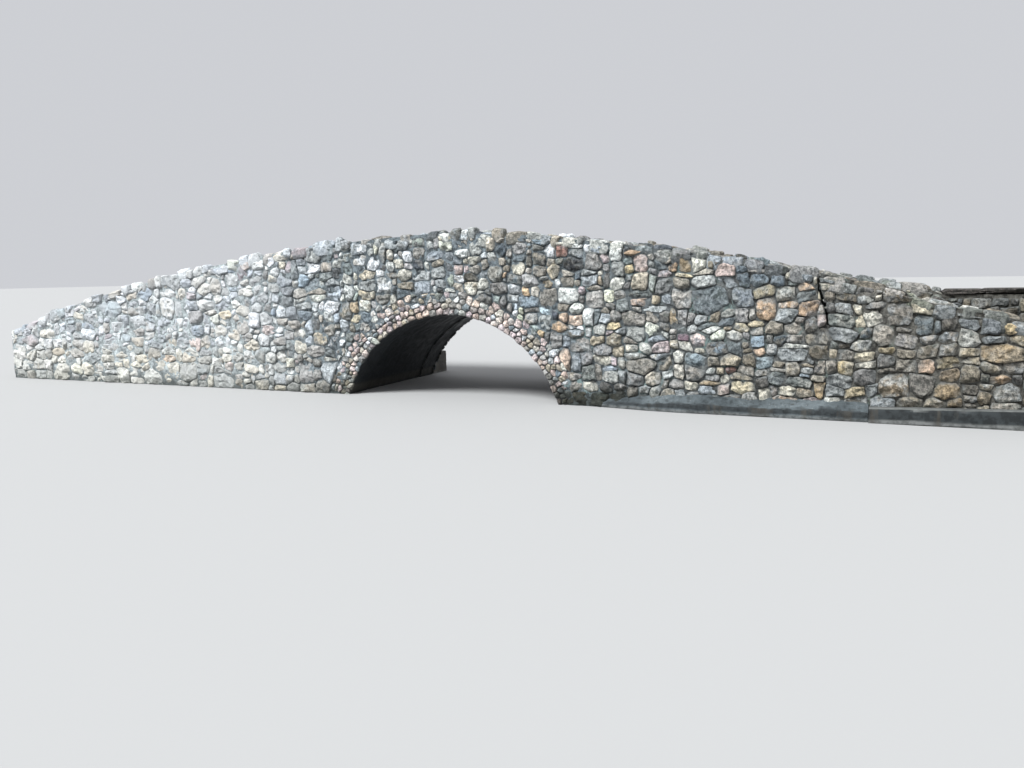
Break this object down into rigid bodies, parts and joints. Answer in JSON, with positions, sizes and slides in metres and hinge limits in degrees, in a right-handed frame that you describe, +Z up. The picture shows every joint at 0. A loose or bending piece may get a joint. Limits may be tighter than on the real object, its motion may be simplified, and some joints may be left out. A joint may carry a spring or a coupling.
{
  "type": "stone arch bridge",
  "caption": "Humped fieldstone footbridge: a cobble-ringed segmental arch, a concrete barrel, and rubble walls rising into parapets beside a concrete path.",
  "frame": {"origin": "centre of the footprint at the foot of the walls, in line with the crown of the arch", "axes": "+X along the bridge to the right as seen from its front, +Y from the front face to the back, +Z up"},
  "size_m": [16.1, 3.09, 2.1247],
  "materials": {
    "fieldstone": "rough rubble in grey mortar",
    "coping_stones": "weathered, rough",
    "arch_cobbles": "small rounded cobbles in mortar",
    "cap_slabs": "flat dark slabs, weathered",
    "barrel_concrete": "smooth, damp, dark",
    "path_concrete": "broomed concrete",
    "wet_concrete": "stained concrete with a pale edge",
    "core_masonry": "mortared rubble core"
  },
  "bodies": {
    "root": {"arch_barrel_left": "barrel_concrete", "arch_barrel_right": "barrel_concrete", "back_arch_ring": "arch_cobbles", "back_centre_coping": "coping_stones", "back_centre_wall": "fieldstone", "back_left_channel_wall": "wet_concrete", "back_left_coping": "coping_stones", "back_left_wing": "fieldstone", "back_right_cap_slabs": "cap_slabs", "back_right_channel_wall": "wet_concrete", "back_right_coping": "coping_stones", "back_right_wing": "fieldstone", "crown_path_slab": "path_concrete", "front_arch_ring": "arch_cobbles", "front_centre_coping": "coping_stones", "front_centre_wall": "fieldstone", "front_concrete_toe": "wet_concrete", "front_kerb": "wet_concrete", "front_left_coping": "coping_stones", "front_left_wing": "fieldstone", "front_right_coping": "coping_stones", "front_right_wing": "fieldstone", "left_end_path_slab": "path_concrete", "left_end_sill": "core_masonry", "left_fill": "core_masonry", "left_path_slab": "path_concrete", "right_end_path_slab": "path_concrete", "right_end_sill": "core_masonry", "right_fill": "core_masonry", "right_path_slab": "path_concrete"}
  },
  "joints": []
}
